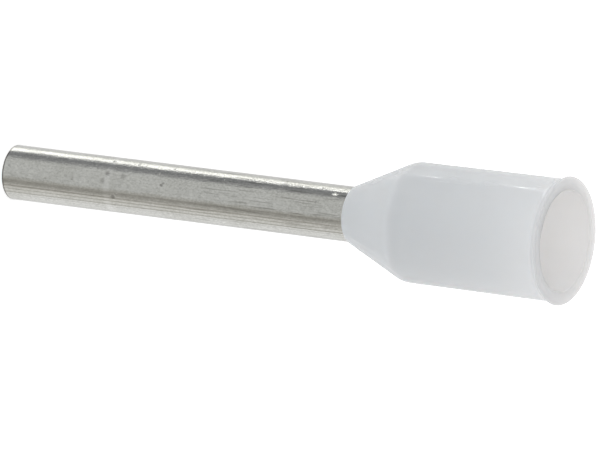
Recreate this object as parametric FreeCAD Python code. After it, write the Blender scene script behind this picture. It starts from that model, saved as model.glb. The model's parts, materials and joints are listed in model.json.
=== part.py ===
"""An insulated wire ferrule for fine-stranded wire of 0.5 mm2, with a crimping length of 10 mm.

It is two pieces, pressed together for life: a sleeve drawn from tin-plated copper tube, and a moulded
plastic collar. The sleeve's inner end opens into a bell that sits in the cone of the collar, so that the
collar can't slide off over it and every strand is led into the tube. The bare end of the sleeve goes
into a terminal, and the insulated wire enters the mouth of the collar.

Lengths are in millimetres. The ferrule stands on its bare cut end, with its axis along Z and the
collar's mouth up. Each piece is one closed profile in the plane of X and Z, turned about Z.
"""
import FreeCAD
import Part
import math
import os

# The sleeve
SLEEVE_BORE = 1.10          # inner diameter, which the bare strands fill
SLEEVE_WALL = 0.15
BARE_LENGTH = 10.0          # from the cut end to the collar's neck
CUT_EDGE_ROUND = 0.03       # what the cutting blade leaves on each edge of a cut end
BELL_SLANT = 0.95           # length of the bell along its own slope
BELL_BEND = 0.20            # bend radius on the outside of the sleeve, where the bell begins

# The collar
COLLAR_LENGTH = 6.0
NECK_WALL = 0.04            # the collar feathers out to this at its neck
CONE_ANGLE = 24.8           # half angle of the cone, in degrees
CONE_WALL = 0.25            # wall of the cone, square to its surface
SHOULDER_DIAMETER = 3.04    # the barrel where it starts, above the cone
BARREL_DIAMETER = 3.08      # the barrel below the lip: it widens a little, to leave its mould
SHOULDER_ROUND = 0.50
INNER_SHOULDER_ROUND = 0.35
MOUTH_BORE = 2.56           # inner diameter of the barrel, which takes the wire's insulation
LIP_RISE = 0.075            # how far the mouth's lip stands out from the barrel
LIP_ANGLE = 30.0            # slope of the lip, in degrees from the axis
LIP_ROOT_ROUND = 0.45
MOULDED_EDGE_ROUND = 0.03

# Radii from the axis
SLEEVE_INNER = SLEEVE_BORE / 2
SLEEVE_OUTER = SLEEVE_INNER + SLEEVE_WALL
NECK_OUTER = SLEEVE_OUTER + NECK_WALL
MOUTH_INNER = MOUTH_BORE / 2
SHOULDER_OUTER = SHOULDER_DIAMETER / 2
BARREL_OUTER = BARREL_DIAMETER / 2
LIP_OUTER = BARREL_OUTER + LIP_RISE

# The cone's direction, and the direction square to its wall, towards the axis
CONE_TURN = math.radians(CONE_ANGLE)
UP_CONE = (math.sin(CONE_TURN), math.cos(CONE_TURN))
THROUGH_WALL = (-UP_CONE[1], UP_CONE[0])
SLOPE = math.tan(CONE_TURN)

# Heights over the cut end. The inner cone is the outer one, moved in by the wall, and the bell lies on it.
NECK = BARE_LENGTH
MOUTH = NECK + COLLAR_LENGTH
OUTER_SHOULDER = NECK + (SHOULDER_OUTER - NECK_OUTER) / SLOPE
BELL_START = NECK + (CONE_WALL / UP_CONE[1] - NECK_WALL) / SLOPE
INNER_SHOULDER = BELL_START + (MOUTH_INNER - SLEEVE_OUTER) / SLOPE

# The lip's two faces would meet a little outside its rounded edge
LIP_TURN = math.radians(LIP_ANGLE)
LIP_CORNER = LIP_OUTER + MOULDED_EDGE_ROUND * (math.tan(LIP_TURN) + 1 / math.cos(LIP_TURN) - 1)
LIP_START = MOUTH - (LIP_CORNER - BARREL_OUTER) / math.tan(LIP_TURN)

AXIS = FreeCAD.Vector(0, 0, 1)
BASE = FreeCAD.Vector(0, 0, 0)


def rounded_profile(corners):
    """A closed face through corners of (radius, height, rounding), each one rounded by a tangent arc."""
    points = [FreeCAD.Vector(radius, 0, height) for radius, height, _ in corners]
    count = len(points)
    bends = []
    for i, corner in enumerate(points):
        back = points[i - 1] - corner
        ahead = points[(i + 1) % count] - corner
        rounding = corners[i][2]
        half_turn = (math.pi - back.getAngle(ahead)) / 2
        reach = min(rounding * math.tan(half_turn), 0.49 * back.Length, 0.49 * ahead.Length)
        back.normalize()
        ahead.normalize()
        start = corner + back * reach
        stop = corner + ahead * reach
        middle = None
        if rounding > 0:
            radius = reach / math.tan(half_turn)
            inwards = back + ahead
            inwards.normalize()
            middle = corner + inwards * (radius / math.cos(half_turn) - radius)
        bends.append((start, middle, stop))
    edges = []
    for i, (start, middle, stop) in enumerate(bends):
        if middle:
            edges.append(Part.Arc(start, middle, stop).toShape())
        edges.append(Part.LineSegment(stop, bends[(i + 1) % count][0]).toShape())
    return Part.Face(Part.Wire(edges))


def turned(corners):
    """The solid that a profile sweeps in one full turn about the ferrule's axis."""
    return rounded_profile(corners).revolve(BASE, AXIS, 360)


def contact_sleeve():
    """Tube with an even wall, cut square at both ends, its inner end belled out along the cone."""
    rim = (SLEEVE_OUTER + BELL_SLANT * UP_CONE[0], BELL_START + BELL_SLANT * UP_CONE[1])
    inner_bend = BELL_START + SLEEVE_WALL * math.tan(CONE_TURN / 2)
    return turned([
        (SLEEVE_OUTER, 0, CUT_EDGE_ROUND),
        (SLEEVE_OUTER, BELL_START, BELL_BEND),
        (rim[0], rim[1], CUT_EDGE_ROUND),
        (rim[0] + SLEEVE_WALL * THROUGH_WALL[0], rim[1] + SLEEVE_WALL * THROUGH_WALL[1], CUT_EDGE_ROUND),
        (SLEEVE_INNER, inner_bend, BELL_BEND + SLEEVE_WALL),
        (SLEEVE_INNER, 0, CUT_EDGE_ROUND),
    ])


def insulating_collar():
    """Moulded collar: neck and cone that hold the sleeve, barrel for the wire, and a flared lip."""
    return turned([
        (SLEEVE_OUTER, NECK, 0),
        (NECK_OUTER, NECK, NECK_WALL / 2),
        (SHOULDER_OUTER, OUTER_SHOULDER, SHOULDER_ROUND),
        (BARREL_OUTER, LIP_START, LIP_ROOT_ROUND),
        (LIP_CORNER, MOUTH, MOULDED_EDGE_ROUND),
        (MOUTH_INNER, MOUTH, MOULDED_EDGE_ROUND),
        (MOUTH_INNER, INNER_SHOULDER, INNER_SHOULDER_ROUND),
        (SLEEVE_OUTER, BELL_START, BELL_BEND),
    ])


def main():
    pieces = {"contact_sleeve": contact_sleeve(), "insulating_collar": insulating_collar()}
    os.makedirs("parts", exist_ok=True)
    for name, piece in pieces.items():
        piece.exportStep("parts/" + name + ".step")
        print(name, "valid", piece.isValid(), "volume", round(piece.Volume, 4), "mm3")


main()
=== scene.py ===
"""An insulated wire ferrule: the drawn, tin-plated sleeve and the moulded collar, in their finishes.

The ferrule stands on the sleeve's cut end, with its axis along Z and the collar's mouth up. The photograph
shows it with its axis level, so the camera looks down at it and is rolled until the mouth lies to the right.
Everything is in metres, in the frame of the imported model; a size that says so is in millimetres.
"""
import json
import math

import bpy
from mathutils import Matrix, Vector


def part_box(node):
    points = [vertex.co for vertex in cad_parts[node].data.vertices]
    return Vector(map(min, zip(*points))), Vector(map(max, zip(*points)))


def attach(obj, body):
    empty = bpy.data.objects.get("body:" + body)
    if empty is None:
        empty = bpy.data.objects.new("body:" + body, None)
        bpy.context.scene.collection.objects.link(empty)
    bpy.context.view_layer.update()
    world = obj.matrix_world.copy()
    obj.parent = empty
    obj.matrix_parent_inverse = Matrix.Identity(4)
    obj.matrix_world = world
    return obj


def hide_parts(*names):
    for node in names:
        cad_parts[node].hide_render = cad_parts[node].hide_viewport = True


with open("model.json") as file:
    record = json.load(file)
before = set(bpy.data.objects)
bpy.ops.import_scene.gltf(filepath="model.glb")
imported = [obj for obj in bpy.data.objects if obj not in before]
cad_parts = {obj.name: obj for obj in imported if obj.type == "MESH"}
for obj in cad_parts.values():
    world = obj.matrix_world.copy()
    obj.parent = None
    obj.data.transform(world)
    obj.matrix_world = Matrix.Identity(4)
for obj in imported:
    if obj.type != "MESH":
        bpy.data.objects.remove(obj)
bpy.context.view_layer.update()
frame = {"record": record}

MM = 0.001
MOUNTS = {mount["name"]: mount["dims"] for mount in frame["record"]["mounts"]}

# Sizes of the sleeve, in millimetres
SLEEVE_INNER = MOUNTS["conductor_bore"]["r_mm"]
SLEEVE_OUTER = MOUNTS["terminal_pin"]["r_mm"]
SLEEVE_WALL = SLEEVE_OUTER - SLEEVE_INNER
CUT_EDGE_ROUND = 0.03
BELL_SLANT = 0.95
BELL_BEND = 0.20

# Sizes of the collar, in millimetres
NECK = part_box("insulating_collar")[0].z / MM
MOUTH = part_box("insulating_collar")[1].z / MM
NECK_WALL = 0.04
NECK_OUTER = SLEEVE_OUTER + NECK_WALL
NECK_EDGE_ROUND = 0.02
CONE_TURN = math.radians(24.8)
CONE_WALL = 0.25
SHOULDER_OUTER = 1.52
BARREL_OUTER = 1.54
MOUTH_INNER = MOUNTS["wire_entry"]["r_mm"]
SHOULDER_ROUND = 0.50
INNER_SHOULDER_ROUND = 0.35
LIP_FLARE = 0.075
LIP_OUTER = BARREL_OUTER + LIP_FLARE
LIP_TURN = math.radians(30)
LIP_ROOT_ROUND = 0.45
MOULDED_EDGE_ROUND = 0.03

# Places worked out from them
SLOPE = math.tan(CONE_TURN)
BELL_START = NECK + (CONE_WALL / math.cos(CONE_TURN) - (NECK_OUTER - SLEEVE_OUTER)) / SLOPE
INNER_SHOULDER = BELL_START + (MOUTH_INNER - SLEEVE_OUTER) / SLOPE
OUTER_SHOULDER = NECK + (SHOULDER_OUTER - NECK_OUTER) / SLOPE
LIP_CORNER = LIP_OUTER + MOULDED_EDGE_ROUND * (math.tan(LIP_TURN) + 1 / math.cos(LIP_TURN) - 1)
LIP_START = MOUTH - (LIP_CORNER - BARREL_OUTER) / math.tan(LIP_TURN)

# How finely the forms are drawn, in millimetres
ARC_STEP = 0.03             # longest step round an arc
FEWEST_ARC_STEPS = 6
STRAIGHT_HOLD = 0.012       # from each arc to the point that keeps the run beside it straight
MERGE_DISTANCE = 0.00001

# The waves of the drawn tube, in millimetres
WAVE_HEIGHT = 0.008
WAVE_WIDTH, WAVE_LENGTH = 0.5, 1.4
WAVE_START, WAVE_FULL = 0.05, 0.3     # heights over the cut end where they begin and where they are full
WAVE_RADIUS = SLEEVE_INNER + 0.1      # radius beyond which a point has them


def linear(hex_colour):
    """A colour written as sRGB hex, turned linear for the shaders."""
    parts = [int(hex_colour[i:i + 2], 16) / 255 for i in (1, 3, 5)]
    return [p / 12.92 if p <= 0.04045 else ((p + 0.055) / 1.055) ** 2.4 for p in parts] + [1.0]


def add(tree, kind, inputs=None, **settings):
    """Adds a node with its settings. Each input is a plain value, or the socket or node that feeds it."""
    node = tree.nodes.new(kind)
    for name, value in settings.items():
        setattr(node, name, value)
    for key, value in (inputs or {}).items():
        if isinstance(value, bpy.types.Node):
            value = value.outputs[0]
        if isinstance(value, bpy.types.NodeSocket):
            tree.links.new(value, node.inputs[key])
        else:
            node.inputs[key].default_value = value
    return node


def aside(turn):
    """A level direction, turned by so many degrees from the camera's side towards the key light."""
    return Vector((-math.sin(math.radians(turn)), -math.cos(math.radians(turn)), 0))


# The turned forms

def rounded_points(corners):
    """Points of a closed profile, from corners of (radius, height, rounding, longest step on the way on).

    A pair of points close to each arc keeps the straight runs beside it straight to the eye.
    """
    points = [Vector(corner[:2]) for corner in corners]
    count = len(points)
    spans = []
    for i, corner in enumerate(points):
        rounding = corners[i][2]
        if rounding == 0:
            spans.append([corner])
            continue
        back = (points[i - 1] - corner).normalized()
        ahead = (points[(i + 1) % count] - corner).normalized()
        half_turn = (math.pi - back.angle(ahead)) / 2
        reach = rounding * math.tan(half_turn)
        centre = corner + (back + ahead).normalized() * (rounding / math.cos(half_turn))
        start = corner + back * reach - centre
        turn = start.angle_signed(corner + ahead * reach - centre)
        steps = max(FEWEST_ARC_STEPS, math.ceil(abs(turn) * rounding / ARC_STEP))
        spans.append([centre + Matrix.Rotation(-turn * k / steps, 2) @ start for k in range(steps + 1)])
    outline = []
    for i, span in enumerate(spans):
        outline += span
        run = spans[(i + 1) % count][0] - span[-1]
        if run.length < 3 * STRAIGHT_HOLD:
            continue
        start = span[-1] + run.normalized() * STRAIGHT_HOLD
        stop = span[-1] + run - run.normalized() * STRAIGHT_HOLD
        steps = math.ceil((stop - start).length / corners[i][3])
        outline += [start.lerp(stop, k / steps) for k in range(steps + 1)]
    return outline


def turning_tree():
    """Geometry nodes that turn a profile about Z and give its outside the faint waves of a drawn tube."""
    tree = bpy.data.node_groups.new("turned_form", "GeometryNodeTree")
    for name, kind in (
        ("Profile", "NodeSocketGeometry"), ("Steps around", "NodeSocketInt"),
        ("Wave height", "NodeSocketFloat"), ("Wave size", "NodeSocketVector"),
        ("Inside radius", "NodeSocketFloat"), ("Finish", "NodeSocketMaterial"),
    ):
        tree.interface.new_socket(name, in_out="INPUT", socket_type=kind)
    tree.interface.new_socket("Turned form", in_out="OUTPUT", socket_type="NodeSocketGeometry")
    asked = add(tree, "NodeGroupInput").outputs
    steps = asked["Steps around"]

    # A grid with one column for each point of the profile and one row for each step around, closed both ways.
    # It is turned clockwise, as that makes its faces point outwards
    count = add(tree, "GeometryNodeAttributeDomainSize", {0: asked["Profile"]}).outputs["Point Count"]
    columns = add(tree, "ShaderNodeMath", {0: count, 1: 1.0}, operation="ADD")
    rows = add(tree, "ShaderNodeMath", {0: steps, 1: 1.0}, operation="ADD")
    grid = add(tree, "GeometryNodeMeshGrid", {"Vertices X": columns, "Vertices Y": rows})
    index = add(tree, "GeometryNodeInputIndex")
    share = add(tree, "ShaderNodeMath", {0: index, 1: rows}, operation="DIVIDE")
    column = add(tree, "ShaderNodeMath", {0: share}, operation="FLOOR")
    column = add(tree, "ShaderNodeMath", {0: column, 1: count}, operation="MODULO")
    row = add(tree, "ShaderNodeMath", {0: index, 1: rows}, operation="MODULO")
    here = add(tree, "GeometryNodeInputPosition")
    point = add(tree, "GeometryNodeSampleIndex", {0: asked["Profile"], "Value": here, "Index": column},
                data_type="FLOAT_VECTOR", domain="POINT")
    turns = add(tree, "ShaderNodeMath", {0: row, 1: steps}, operation="DIVIDE")
    angle = add(tree, "ShaderNodeMath", {0: turns, 1: -math.tau}, operation="MULTIPLY")
    place = add(tree, "ShaderNodeVectorRotate", {"Vector": point, "Angle": angle}, rotation_type="Z_AXIS")
    shape = add(tree, "GeometryNodeSetPosition", {"Geometry": grid, "Position": place})
    shape = add(tree, "GeometryNodeMergeByDistance", {"Geometry": shape, "Distance": MERGE_DISTANCE * MM})

    # Long shallow waves, only on what lies outside the given radius and clear of the cut end
    parts = add(tree, "ShaderNodeSeparateXYZ", {0: here}).outputs
    level = add(tree, "ShaderNodeCombineXYZ", {0: parts[0], 1: parts[1]})
    across = add(tree, "ShaderNodeVectorMath", {0: level}, operation="LENGTH").outputs["Value"]
    outside = add(tree, "ShaderNodeMath", {0: across, 1: asked["Inside radius"]}, operation="GREATER_THAN")
    clear = add(tree, "ShaderNodeMapRange", {0: parts[2], 1: WAVE_START * MM, 2: WAVE_FULL * MM})
    stretched = add(tree, "ShaderNodeVectorMath", {0: here, 1: asked["Wave size"]}, operation="DIVIDE")
    wave = add(tree, "ShaderNodeTexNoise", {"Vector": stretched, "Scale": 1.0, "Detail": 3.0})
    height = add(tree, "ShaderNodeMath", {0: 0.5, 1: wave}, operation="SUBTRACT")
    for factor in (asked["Wave height"], outside, clear):
        height = add(tree, "ShaderNodeMath", {0: height, 1: factor}, operation="MULTIPLY")
    normal = add(tree, "GeometryNodeInputNormal")
    outwards = add(tree, "ShaderNodeVectorMath", {0: normal, "Scale": height}, operation="SCALE")
    shape = add(tree, "GeometryNodeSetPosition", {"Geometry": shape, "Offset": outwards})
    shape = add(tree, "GeometryNodeSetShadeSmooth", {"Geometry": shape})
    shape = add(tree, "GeometryNodeRealizeInstances", {"Geometry": shape})
    shape = add(tree, "GeometryNodeSetMaterial", {"Geometry": shape, "Material": asked["Finish"]})
    add(tree, "NodeGroupOutput", {0: shape})
    return tree


def turned_piece(name, node, corners, tree, sizes):
    """A finished piece: its profile turned by the nodes, and the result kept as a plain mesh."""
    outline = rounded_points(corners)
    mesh = bpy.data.meshes.new(name + "_profile")
    mesh.from_pydata([(p.x * MM, 0, p.y * MM) for p in outline],
                     [(i, (i + 1) % len(outline)) for i in range(len(outline))], [])
    profile = bpy.data.objects.new(name + "_profile", mesh)
    bpy.context.scene.collection.objects.link(profile)
    turning = profile.modifiers.new("turning", "NODES")
    turning.node_group = tree
    for item in tree.interface.items_tree:
        if item.in_out == "INPUT" and item.name in sizes:
            turning[item.identifier] = sizes[item.name]
    evaluated = profile.evaluated_get(bpy.context.evaluated_depsgraph_get())
    piece = bpy.data.objects.new(name, bpy.data.meshes.new_from_object(evaluated))
    piece.data.name = name
    bpy.data.objects.remove(profile)
    bpy.context.scene.collection.objects.link(piece)
    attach(piece, "root")
    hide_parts(node)


def sleeve_corners():
    """The sleeve: an even wall, cut square, and belled out along the collar's cone."""
    up = Vector((math.sin(CONE_TURN), math.cos(CONE_TURN)))
    rim = Vector((SLEEVE_OUTER, BELL_START)) + up * BELL_SLANT
    inner_rim = rim + Vector((-up.y, up.x)) * SLEEVE_WALL
    inner_bend = BELL_START + SLEEVE_WALL * math.tan(CONE_TURN / 2)
    return [
        (SLEEVE_OUTER, 0, CUT_EDGE_ROUND, 0.04),
        (SLEEVE_OUTER, BELL_START, BELL_BEND, 0.1),
        (rim.x, rim.y, CUT_EDGE_ROUND, 0.1),
        (inner_rim.x, inner_rim.y, CUT_EDGE_ROUND, 0.1),
        (SLEEVE_INNER, inner_bend, BELL_BEND + SLEEVE_WALL, 0.3),
        (SLEEVE_INNER, 0, CUT_EDGE_ROUND, 0.1),
    ]


def collar_corners():
    """The collar: feathered neck, cone, barrel, flared lip, and the bore with the sleeve's seat."""
    return [
        (SLEEVE_OUTER, NECK, 0, 0.1),
        (NECK_OUTER, NECK, NECK_EDGE_ROUND, 0.08),
        (SHOULDER_OUTER, OUTER_SHOULDER, SHOULDER_ROUND, 0.08),
        (BARREL_OUTER, LIP_START, LIP_ROOT_ROUND, 0.1),
        (LIP_CORNER, MOUTH, MOULDED_EDGE_ROUND, 0.1),
        (MOUTH_INNER, MOUTH, MOULDED_EDGE_ROUND, 0.1),
        (MOUTH_INNER, INNER_SHOULDER, INNER_SHOULDER_ROUND, 0.1),
        (SLEEVE_OUTER, BELL_START, BELL_BEND, 0.2),
    ]


# The finishes

def new_material(name):
    """An empty node material, and its tree."""
    material = bpy.data.materials.new(name)
    material.use_nodes = True
    material.node_tree.nodes.clear()
    return material, material.node_tree


def patterns(tree, place, table):
    """Cloudy patterns, each from its size in mm across and along the ferrule, detail and roughness."""
    made = {}
    for name, (across, along, detail, roughness) in table.items():
        size = (1 / (across * MM), 1 / (across * MM), 1 / (along * MM))
        stretched = add(tree, "ShaderNodeMapping", {"Vector": place, "Scale": size})
        made[name] = add(tree, "ShaderNodeTexNoise", {
            "Vector": stretched, "Scale": 1.0, "Detail": detail, "Roughness": roughness})
    return made


# Marks of handling on the bare sleeve: direction round the axis, in degrees from the camera's side towards
# the key light, height over the cut end, radius and depth in millimetres, all measured from the photograph
MARKS = [
    (21.5, 3.06, 0.100, 0.012), (18.5, 3.54, 0.110, 0.009), (3.8, 2.97, 0.090, 0.007),
    (-25.5, 3.30, 0.080, 0.012), (11.5, 4.70, 0.055, 0.014), (15.0, 4.74, 0.045, 0.012),
    (55.0, 3.10, 0.065, 0.009), (55.0, 3.84, 0.045, 0.006), (55.0, 4.88, 0.040, 0.006),
    (-5.8, 1.30, 0.035, 0.006), (0.0, 2.09, 0.035, 0.006), (12.4, 0.17, 0.035, 0.006),
]
MARK_FLOOR = 0.3      # share of its radius within which a mark is deepest
MARK_WANDER = 0.02    # how far its edge wanders in and out, in millimetres

# One fresh nick near the neck, given as the marks are, and how much longer it is than wide
NICK = (41.8, 9.63, 0.074, 0.019)
NICK_FLOOR = 0.1
NICK_STRETCH = 1.6

# The lines that the drawing die left, with one wider dark band beside them that is partly a painted
# reflection,
# measured from the photograph: how far each lies aside of the axis, towards the right as the tube stands, its
# half width, both in millimetres, and how dark it is painted, from 0 to 1
DIE_LINES_AND_PAINTED_BAND = [
    (0.238, 0.036, 0.36), (0.290, 0.022, 0.26), (0.349, 0.021, 0.52), (0.430, 0.014, 0.46),
    (0.507, 0.014, 0.50), (0.560, 0.008, 0.20), (0.060, 0.008, 0.10), (-0.110, 0.008, 0.08),
    (-0.260, 0.010, 0.08),
]
DIE_LINE_BLUR = 0.006                   # how soft each line's edge is, to either side
SMOOTH_FROM, SMOOTH_FULL = 0.12, 0.20   # how far aside of the axis the orange peel fades, towards the lines

# Other places on the sleeve, as heights over the cut end in millimetres
# the cut edge is painted dark up to these heights: partly bare metal at the cut, partly a painted dark
# reflection along its edge
CUT_TINT_FULL, CUT_TINT_END = 0.035, 0.060
RING_HEIGHT = 3.10                      # of the ring that a tool left
RING_FULL, RING_END = 0.05, 0.13        # how far above and below it the ring is full, and where it ends
SLID_FROM, SLID_FULL = 3.0, 6.0         # where the short lines grow stronger


def tinned_copper():
    """Copper tube, drawn and then tin-plated.

    Drawing leaves lines along the tube; their dark tint, and one darker stripe beside them, is partly a
    painted reflection band. The tin over them is a soft grey mirror with the grain of fine orange peel, and
    handling loose in a bag leaves small dents and dull specks.
    """
    material, tree = new_material("tinned_copper")
    place = add(tree, "ShaderNodeTexCoord").outputs["Object"]
    parts = add(tree, "ShaderNodeSeparateXYZ", {0: place}).outputs
    look = patterns(tree, place, {
        "fading": (0.06, 2.5, 2, 0.6), "short lines": (0.050, 1.1, 2, 0.5), "clouds": (0.5, 0.9, 4, 0.5),
        "peel": (0.09, 0.22, 3, 0.6), "grain": (0.045, 0.075, 3, 0.7), "specks": (0.09, 0.11, 2, 0.5),
    })

    # The die's lines, and the band beside them that is partly a painted reflection, fade and come back along
    # the tube, and where they lie there is less orange peel
    lines = 0.0
    for middle, half_width, darkness in DIE_LINES_AND_PAINTED_BAND:
        off = add(tree, "ShaderNodeMath", {0: parts[0], 1: middle * MM}, operation="SUBTRACT")
        off = add(tree, "ShaderNodeMath", {0: off}, operation="ABSOLUTE")
        line = add(tree, "ShaderNodeMapRange", {
            0: off, 1: (half_width + DIE_LINE_BLUR) * MM, 2: (half_width - DIE_LINE_BLUR) * MM, 4: darkness})
        lines = add(tree, "ShaderNodeMath", {0: lines, 1: line}, operation="MAXIMUM")
    fading = add(tree, "ShaderNodeMapRange", {0: look["fading"], 1: 0.3, 2: 0.6, 3: 0.55, 4: 1.0})
    lines = add(tree, "ShaderNodeMath", {0: lines, 1: fading}, operation="MULTIPLY")
    smooth = add(tree, "ShaderNodeMapRange", {
        0: parts[0], 1: SMOOTH_FROM * MM, 2: SMOOTH_FULL * MM, 3: 1.0, 4: 0.4})
    peel = add(tree, "ShaderNodeMath", {0: look["peel"], 1: smooth}, operation="MULTIPLY")

    # Each mark is a round dent with an uneven edge; its depth also sets a painted shade in it
    uneven = add(tree, "ShaderNodeMapRange", {
        0: look["peel"], 1: 0.3, 2: 0.7, 3: -MARK_WANDER * MM, 4: MARK_WANDER * MM})
    dents = 0.0
    for turn, height, radius, depth in MARKS:
        centre = (aside(turn) * SLEEVE_OUTER + Vector((0, 0, height))) * MM
        away = add(tree, "ShaderNodeVectorMath", {0: place, 1: centre}, operation="DISTANCE").outputs["Value"]
        away = add(tree, "ShaderNodeMath", {0: away, 1: uneven}, operation="ADD")
        dent = add(tree, "ShaderNodeMapRange", {
            0: away, 1: radius * MM, 2: MARK_FLOOR * radius * MM, 4: depth})
        dents = add(tree, "ShaderNodeMath", {0: dents, 1: dent}, operation="MAXIMUM")

    # The nick slopes evenly down to its middle, is longer than wide, and isn't painted darker as the marks
    # are
    turn, height, radius, depth = NICK
    centre = (aside(turn) * SLEEVE_OUTER + Vector((0, 0, height))) * MM
    away = add(tree, "ShaderNodeVectorMath", {0: place, 1: centre}, operation="SUBTRACT")
    away = add(tree, "ShaderNodeVectorMath", {0: away, 1: (1.0, 1.0, 1 / NICK_STRETCH)}, operation="MULTIPLY")
    away = add(tree, "ShaderNodeVectorMath", {0: away}, operation="LENGTH").outputs["Value"]
    nick = add(tree, "ShaderNodeMapRange", {0: away, 1: radius * MM, 2: NICK_FLOOR * radius * MM, 4: depth})
    specks = add(tree, "ShaderNodeMapRange", {0: look["specks"], 1: 0.72, 2: 0.80})
    # painted reflection: the cut edge is painted dark
    cut = add(tree, "ShaderNodeMapRange", {0: parts[2], 1: CUT_TINT_END * MM, 2: CUT_TINT_FULL * MM})

    # A tool that held the tube left a faint bright ring, and sliding on towards the neck left short lines
    off = add(tree, "ShaderNodeMath", {0: parts[2], 1: RING_HEIGHT * MM}, operation="SUBTRACT")
    off = add(tree, "ShaderNodeMath", {0: off}, operation="ABSOLUTE")
    ring = add(tree, "ShaderNodeMapRange", {0: off, 1: RING_END * MM, 2: RING_FULL * MM})
    ring = add(tree, "ShaderNodeMath", {0: ring, 1: look["clouds"]}, operation="MULTIPLY")
    slid = add(tree, "ShaderNodeMapRange", {
        0: parts[2], 1: SLID_FROM * MM, 2: SLID_FULL * MM, 3: 0.35, 4: 1.0})
    slid = add(tree, "ShaderNodeMath", {0: look["short lines"], 1: slid}, operation="MULTIPLY")

    # The tin is cloudy and grainy. What lies on it is tinted, from one level of its pattern to another, up
    # to a share of the tint
    cloudy = add(tree, "ShaderNodeMapRange", {0: look["clouds"], 1: 0.35, 2: 0.65})
    colour = add(tree, "ShaderNodeMix", {0: cloudy, 6: linear("#d8d8d4"), 7: linear("#d0d0cb")},
                 data_type="RGBA").outputs[2]
    grainy = add(tree, "ShaderNodeMapRange", {0: look["grain"], 1: 0.3, 2: 0.7, 3: 0.78, 4: 1.12})
    colour = add(tree, "ShaderNodeMix", {0: 1.0, 6: colour, 7: grainy}, data_type="RGBA",
                 blend_type="MULTIPLY").outputs[2]
    for where, low, high, share, tint in (
        (slid, 0.56, 0.68, 0.60, "#8c8b85"),
        (ring, 0.0, 1.0, 0.6, "#eeeeec"),
        # painted reflection: the die lines' tint is partly a painted dark band along the tube
        (lines, 0.0, 1.0, 1.0, "#7a766c"),
        (specks, 0.0, 1.0, 0.35, "#7a7874"),
        # painted shade: each dent is painted darker the deeper it is, as shade in its hollow
        (dents, 0.0, 0.012, 0.55, "#7a7874"),
        # painted reflection: a dark outline painted along the cut edge, partly bare metal
        (cut, 0.0, 1.0, 0.8, "#625d57"),
    ):
        amount = add(tree, "ShaderNodeMapRange", {0: where, 1: low, 2: high, 4: share})
        colour = add(tree, "ShaderNodeMix", {0: amount, 6: colour, 7: linear(tint)},
                     data_type="RGBA").outputs[2]

    # The relief of each pattern, in millimetres
    normal = None
    for where, relief in (
        (lines, -0.002), (peel, 0.0065), (look["grain"], 0.0025), (specks, -0.008), (dents, -1.0),
        (nick, -1.0),
    ):
        height = {"Height": where, "Strength": 1.0, "Distance": relief * MM}
        if normal:
            height["Normal"] = normal
        normal = add(tree, "ShaderNodeBump", height)
    polish = add(tree, "ShaderNodeMapRange", {0: look["clouds"], 1: 0.3, 2: 0.7, 3: 0.11, 4: 0.16})
    surface = add(tree, "ShaderNodeBsdfPrincipled", {
        "Base Color": colour, "Metallic": 1.0, "Roughness": polish, "Normal": normal})
    add(tree, "ShaderNodeOutputMaterial", {"Surface": surface})
    return material


# The line that a rub has polished on the collar, in degrees from the camera's side towards the key light,
# and how many degrees to each side of it the polish is full, and where it ends
RUB_TURN = 50.5
RUB_FULL, RUB_END = 5, 11

# The collar's plastic, in millimetres
RIPPLE_HEIGHT = 0.003
FEATHER_LENGTH = 0.5                            # of the denser plastic at the neck
FEATHER_DEPTH, WALL_DEPTH = 0.25, 1.8           # how far light gets in it, and in the rest
# the rim of the lip is painted grey between these radii and heights: a painted shade over its edge
RIM_RADIUS_FROM, RIM_RADIUS_FULL = 1.36, 1.56   # between these radii the lip turns grey
RIM_UNDER_FROM, RIM_UNDER_FULL = 0.25, 0.10     # and between these heights, measured down from the mouth
SHOULDER_FULL, SHOULDER_END = 0.15, 0.45        # how near to the shoulder's corner light gets further


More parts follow.
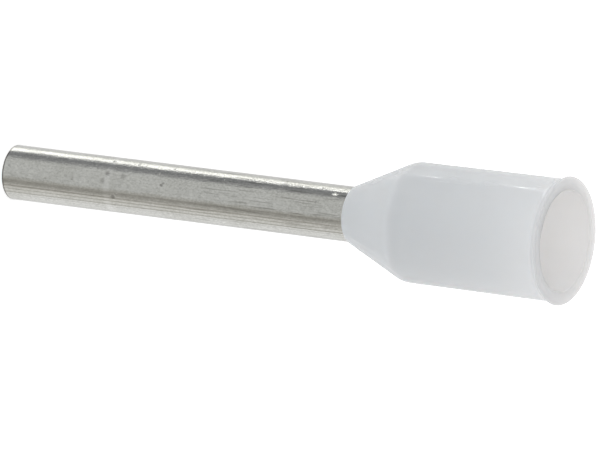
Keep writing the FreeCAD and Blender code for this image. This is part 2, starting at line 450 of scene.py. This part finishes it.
def natural_polypropylene():
    """Uncoloured polypropylene, injection-moulded.

    It scatters light inside its thin wall: blue comes back soonest, so its outside is a bluish white, and
    what has passed through the wall into the mouth is warmer. Its skin is satin, with the mould's faint
    ripple.
    """
    material, tree = new_material("natural_polypropylene")
    place = add(tree, "ShaderNodeTexCoord").outputs["Object"]
    parts = add(tree, "ShaderNodeSeparateXYZ", {0: place}).outputs
    height = parts[2]
    look = patterns(tree, place, {
        "clouds": (0.8, 0.8, 3, 0.5), "ripple": (0.30, 1.1, 2, 0.4), "polish": (0.30, 0.8, 2, 0.5)})
    colour = add(tree, "ShaderNodeMix", {0: look["clouds"], 6: linear("#f6f8fb"), 7: linear("#f8fafc")},
                 data_type="RGBA").outputs[2]
    ripple = add(tree, "ShaderNodeBump", {
        "Height": look["ripple"], "Strength": 1.0, "Distance": RIPPLE_HEIGHT * MM})

    # The skin is even, but for one line along the barrel that a rub has polished here and there
    level = add(tree, "ShaderNodeCombineXYZ", {0: parts[0], 1: parts[1]})
    across = add(tree, "ShaderNodeVectorMath", {0: level}, operation="LENGTH").outputs["Value"]
    level = add(tree, "ShaderNodeVectorMath", {0: level}, operation="NORMALIZE")
    towards = add(tree, "ShaderNodeVectorMath", {0: level, 1: aside(RUB_TURN)}, operation="DOT_PRODUCT")
    rubbed = add(tree, "ShaderNodeMapRange", {
        0: towards.outputs["Value"], 1: math.cos(math.radians(RUB_END)), 2: math.cos(math.radians(RUB_FULL))})
    polish = add(tree, "ShaderNodeMapRange", {0: look["polish"], 1: 0.42, 2: 0.62, 3: 0.07, 4: 0.28})
    polish = add(tree, "ShaderNodeMix", {0: rubbed, 2: 0.20, 3: polish})

    # How far light gets: less in the feather at the neck and in the rim of the lip, which the mould chills
    # first, and further at the shoulder. The rim of the lip is also painted grey, a painted shade that
    # darkens it
    neck = add(tree, "ShaderNodeMapRange", {
        0: height, 1: NECK * MM, 2: (NECK + FEATHER_LENGTH) * MM, 3: FEATHER_DEPTH * MM, 4: WALL_DEPTH * MM})
    lip = add(tree, "ShaderNodeMapRange", {
        0: height, 1: (MOUTH - RIM_UNDER_FROM) * MM, 2: (MOUTH - RIM_UNDER_FULL) * MM})
    rim = add(tree, "ShaderNodeMapRange", {0: across, 1: RIM_RADIUS_FROM * MM, 2: RIM_RADIUS_FULL * MM})
    rim = add(tree, "ShaderNodeMath", {0: rim, 1: lip}, operation="MULTIPLY")
    lip = add(tree, "ShaderNodeMapRange", {0: rim, 3: 1.0, 4: 0.6})
    # painted shade: the rim of the lip is mixed towards grey
    colour = add(tree, "ShaderNodeMix", {0: rim, 6: colour, 7: linear("#ccced1")},
                 data_type="RGBA").outputs[2]
    away = add(tree, "ShaderNodeMath", {0: height, 1: OUTER_SHOULDER * MM}, operation="SUBTRACT")
    away = add(tree, "ShaderNodeMath", {0: away}, operation="ABSOLUTE")
    shoulder = add(tree, "ShaderNodeMapRange", {
        0: away, 1: SHOULDER_FULL * MM, 2: SHOULDER_END * MM, 3: 1.2, 4: 1.0})
    depth = add(tree, "ShaderNodeMath", {0: neck, 1: lip}, operation="MULTIPLY")
    depth = add(tree, "ShaderNodeMath", {0: depth, 1: shoulder}, operation="MULTIPLY")
    surface = add(tree, "ShaderNodeBsdfPrincipled", {
        "Base Color": colour, "Roughness": polish, "IOR": 1.49, "Normal": ripple,
        "Subsurface Weight": 1.0, "Subsurface Radius": (1.0, 0.92, 0.86), "Subsurface Scale": depth})
    add(tree, "ShaderNodeOutputMaterial", {"Surface": surface})
    return material


# The studio

def glowing(name, hex_colour, brightness):
    """A material that only glows."""
    material, tree = new_material(name)
    glow = add(tree, "ShaderNodeEmission", {"Color": linear(hex_colour), "Strength": brightness})
    add(tree, "ShaderNodeOutputMaterial", {"Surface": glow})
    return material


def set_piece(name, points, faces, material):
    """A plain mesh of the studio, which isn't part of the object."""
    mesh = bpy.data.meshes.new(name)
    mesh.from_pydata(points, [], faces)
    mesh.materials.append(material)
    thing = bpy.data.objects.new(name, mesh)
    bpy.context.scene.collection.objects.link(thing)
    return thing


def floor():
    """A white table, lit a little from below. Reflections look past it, at cards that reach down below it."""
    reach = 1.5
    material, tree = new_material("white_table")
    surface = add(tree, "ShaderNodeBsdfPrincipled", {
        "Base Color": linear("#f0f0f0"), "Roughness": 1.0, "Specular IOR Level": 0.0,
        "Emission Color": linear("#ffffff"), "Emission Strength": 0.62})
    add(tree, "ShaderNodeOutputMaterial", {"Surface": surface})
    corners = [(-reach, -reach, 0), (reach, -reach, 0), (reach, reach, 0), (-reach, reach, 0)]
    set_piece("table", corners, [(0, 1, 2, 3)], material).visible_glossy = False


# Cards that stand in a ring round the ferrule: where each begins and ends, in degrees from the camera's side
# towards the key light, the heights of its foot and its top, its colour and its brightness. The sleeve
# mirrors what stands below SPLIT, and the collar what stands above it
FOOT, SPLIT, TOP = -0.160, -0.057, 0.020
CARDS = {
    "back_cloth": (125, 190, FOOT, TOP, "#ffffff", 0.78),
    "low_edge_card": (190, 222, FOOT, TOP, "#ffffff", 0.82),
    "low_cloth": (222, 266, FOOT, TOP, "#ffffff", 0.94),
    "side_cloth": (-94, -72, FOOT, TOP, "#fffefb", 0.84),
    "side_card": (-72, -57, FOOT, TOP, "#fffdf9", 0.78),
    "grey_card": (-57, -43, FOOT, TOP, "#fffdf8", 0.57),
    "warm_card": (-43, -27, FOOT, TOP, "#fffdf7", 0.50),
    "front_cloth": (-27, 60, FOOT, TOP, "#fefffe", 0.66),
    "grey_flag": (60, 70, FOOT, TOP, "#fcfdff", 0.42),
    "black_flag": (70, 94, FOOT, TOP, "#f9fbff", 0.30),
    "edge_flag": (94, 101.5, FOOT, TOP, "#fbfcff", 0.60),
    "key_strip": (102, 120, FOOT, SPLIT, "#fffffc", 1.85),
    "soft_strip": (102, 120, SPLIT, TOP, "#fffffc", 0.80),
    "thin_lamp": (99.5, 102, SPLIT, TOP, "#ffffff", 8.0),
    "edge_cloth": (120, 125, FOOT, TOP, "#fffffa", 1.00),
}
GREY_FOOT = 0.60      # brightness of the card underneath


def cards():
    """A ring of cards and lamps that only shiny surfaces see, with a grey one underneath."""
    radius, degrees_a_side = 0.12, 3
    wall = []
    for name, (start, stop, foot, top, hex_colour, brightness) in CARDS.items():
        sides = math.ceil((stop - start) / degrees_a_side)
        arc = [aside(start + (stop - start) * i / sides) * radius for i in range(sides + 1)]
        points = [(p.x, p.y, z) for z in (foot, top) for p in arc]
        faces = [(i, i + 1, sides + 2 + i, sides + 1 + i) for i in range(sides)]
        wall.append(set_piece(name, points, faces, glowing(name, hex_colour, brightness)))
    corners = [(x * radius, y * radius, FOOT) for x, y in ((-1, -1), (1, -1), (1, 1), (-1, 1))]
    wall.append(set_piece("grey_foot", corners, [(0, 1, 2, 3)], glowing("grey_foot", "#ffffff", GREY_FOOT)))
    for card in wall:
        for ray in ("camera", "diffuse", "transmission", "volume_scatter", "shadow"):
            setattr(card, "visible_" + ray, False)


SOFT_BOX_ELEVATION = math.radians(40)      # of the light over the camera


def lights():
    """Soft white light from all round.

    It is strongest low down, behind and on the key light's side, for the collar's wall, and it has a soft box
    over the camera, for the mouth.
    """
    world = bpy.data.worlds.new("studio")
    bpy.context.scene.world = world
    world.use_nodes = True
    tree = world.node_tree
    tree.nodes.clear()
    direction = add(tree, "ShaderNodeTexCoord").outputs["Generated"]
    parts = add(tree, "ShaderNodeSeparateXYZ", {0: direction}).outputs
    behind = add(tree, "ShaderNodeMapRange", {0: parts[1], 1: -1.0, 2: 0.3, 3: 0.54, 4: 1.16})
    lower = add(tree, "ShaderNodeMapRange", {0: parts[2], 1: 0.0, 2: 0.7, 3: 1.0, 4: 0.32})
    strength = add(tree, "ShaderNodeMath", {0: behind, 1: lower}, operation="MULTIPLY")
    key_side = add(tree, "ShaderNodeMapRange", {0: parts[0], 1: -1.0, 2: 1.0, 3: 1.30, 4: 0.80})
    strength = add(tree, "ShaderNodeMath", {0: strength, 1: key_side}, operation="MULTIPLY")
    over_camera = (0, -math.cos(SOFT_BOX_ELEVATION), math.sin(SOFT_BOX_ELEVATION))
    towards = add(tree, "ShaderNodeVectorMath", {0: direction, 1: over_camera}, operation="DOT_PRODUCT")
    soft_box = add(tree, "ShaderNodeMapRange", {0: towards.outputs["Value"], 1: 0.5, 2: 1.0, 4: 0.60})
    strength = add(tree, "ShaderNodeMath", {0: strength, 1: soft_box}, operation="ADD")

    # What shiny surfaces mirror gets brighter upwards, and the camera sees plain white
    ray = add(tree, "ShaderNodeLightPath").outputs
    mirrored = add(tree, "ShaderNodeMapRange", {0: parts[2], 1: 0.2, 2: 0.6, 3: 0.25, 4: 0.90})
    strength = add(tree, "ShaderNodeMix", {0: ray["Is Glossy Ray"], 2: strength, 3: mirrored})
    strength = add(tree, "ShaderNodeMix", {0: ray["Is Camera Ray"], 2: strength, 3: 1.0})
    sky = add(tree, "ShaderNodeBackground", {"Color": linear("#ffffff"), "Strength": strength})
    add(tree, "ShaderNodeOutputWorld", {"Surface": sky})


# The camera, placed by where two points of the ferrule lie in the photograph's frame of 600 by 450 pixels

FRAME_WIDTH_PX, FRAME_HEIGHT_PX = 600, 450
CUT_END_PX = Vector((15.7, 172.0))     # centre of the cut end
MOUTH_PX = Vector((565.0, 241.1))      # centre of the mouth
VIEW_ELEVATION = math.radians(29.2)    # how far the mouth is turned towards the camera
VIEW_DISTANCE = 0.30                   # from the cut end: far, as the photograph has little perspective


def camera():
    """The photograph's view: both points fall on their pixels, which settles the roll and the lens."""
    across = Vector((1, 0, 0))
    back = Vector((0, -math.cos(VIEW_ELEVATION), math.sin(VIEW_ELEVATION)))
    rising = back.cross(across)
    height = MOUTH * MM
    centre = Vector((FRAME_WIDTH_PX / 2, FRAME_HEIGHT_PX / 2))
    mouth_distance = VIEW_DISTANCE - height * math.sin(VIEW_ELEVATION)
    apart = (MOUTH_PX - centre) * mouth_distance - (CUT_END_PX - centre) * VIEW_DISTANCE
    focal_px = apart.length / (height * math.cos(VIEW_ELEVATION))
    roll = math.atan2(apart.y, apart.x)
    right = rising * math.cos(roll) - across * math.sin(roll)
    up = -rising * math.sin(roll) - across * math.cos(roll)
    shift = (CUT_END_PX - centre) * (VIEW_DISTANCE / focal_px)
    data = bpy.data.cameras.new("camera")
    data.sensor_width = 36.0
    data.lens = focal_px * data.sensor_width / FRAME_WIDTH_PX
    data.clip_start, data.clip_end = 0.01, 10.0
    cam = bpy.data.objects.new("camera", data)
    cam.matrix_world = Matrix((right, up, back)).transposed().to_4x4()
    cam.location = back * VIEW_DISTANCE - right * shift.x + up * shift.y
    bpy.context.scene.collection.objects.link(cam)
    bpy.context.scene.camera = cam


tree = turning_tree()
turned_piece("drawn_sleeve", "contact_sleeve", sleeve_corners(), tree, {
    "Steps around": 220, "Wave height": WAVE_HEIGHT * MM,
    "Wave size": (WAVE_WIDTH * MM, WAVE_WIDTH * MM, WAVE_LENGTH * MM),
    "Inside radius": WAVE_RADIUS * MM, "Finish": tinned_copper(),
})
turned_piece("moulded_collar", "insulating_collar", collar_corners(), tree, {
    "Steps around": 256, "Wave size": (MM, MM, MM), "Finish": natural_polypropylene(),
})
floor()
cards()
lights()
camera()
bpy.context.scene.view_settings.view_transform = "Standard"
